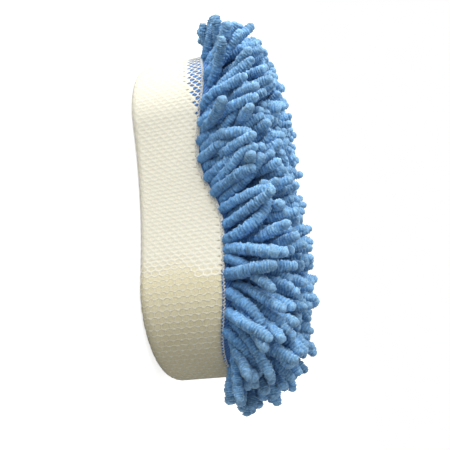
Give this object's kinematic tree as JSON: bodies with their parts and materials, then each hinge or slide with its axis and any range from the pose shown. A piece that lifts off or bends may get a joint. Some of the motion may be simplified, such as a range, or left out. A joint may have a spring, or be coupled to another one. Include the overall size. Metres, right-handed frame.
{
  "type": "wash mitt",
  "caption": "Waisted foam wash pad in a stretch net, with one broad face covered in sewn rows of soft round chenille fingers.",
  "frame": {"origin": "middle of the net back, on the surface the mitt rests on, with the chenille face up", "axes": "+X along the length, towards the lobe whose end holds the closing seam; +Y across the width; +Z from the net back to the chenille face"},
  "size_m": [0.2932, 0.1658, 0.1009],
  "materials": {
    "foam": "open-cell polyurethane foam, matt cream",
    "net": "knitted polyester stretch net, white",
    "backing": "blue warp-knit polyester",
    "thread": "white overlock thread",
    "stitching": "blue tacking thread",
    "chenille": "split-fibre chenille pile, soft sheen"
  },
  "bodies": {
    "sponge_body": {"net_cover": "net", "foam_core": "foam"},
    "chenille_pad": {"backing_fabric": "backing", "overlock_seam": "thread", "closing_seam": "thread", "row_stitches": "stitching", "chenille_row_01": "chenille", "chenille_row_02": "chenille", "chenille_row_03": "chenille", "chenille_row_04": "chenille", "chenille_row_05": "chenille", "chenille_row_06": "chenille", "chenille_row_07": "chenille", "chenille_row_08": "chenille", "chenille_row_09": "chenille", "chenille_row_10": "chenille", "chenille_row_11": "chenille", "chenille_row_12": "chenille", "chenille_row_13": "chenille", "chenille_row_14": "chenille", "chenille_row_15": "chenille", "chenille_row_16": "chenille", "chenille_row_17": "chenille", "chenille_row_18": "chenille", "chenille_row_19": "chenille", "chenille_row_20": "chenille", "chenille_row_21": "chenille", "chenille_row_22": "chenille"}
  },
  "joints": [
    {"name": "foam_squeeze", "type": "slide", "parent": "sponge_body", "child": "chenille_pad", "axis": [0, 0, 1], "range_m": [-0.02, 0], "stiffness_N_per_m": 2500, "springref_m": 0.001, "deforming": ["foam_core", "net_cover"]}
  ]
}
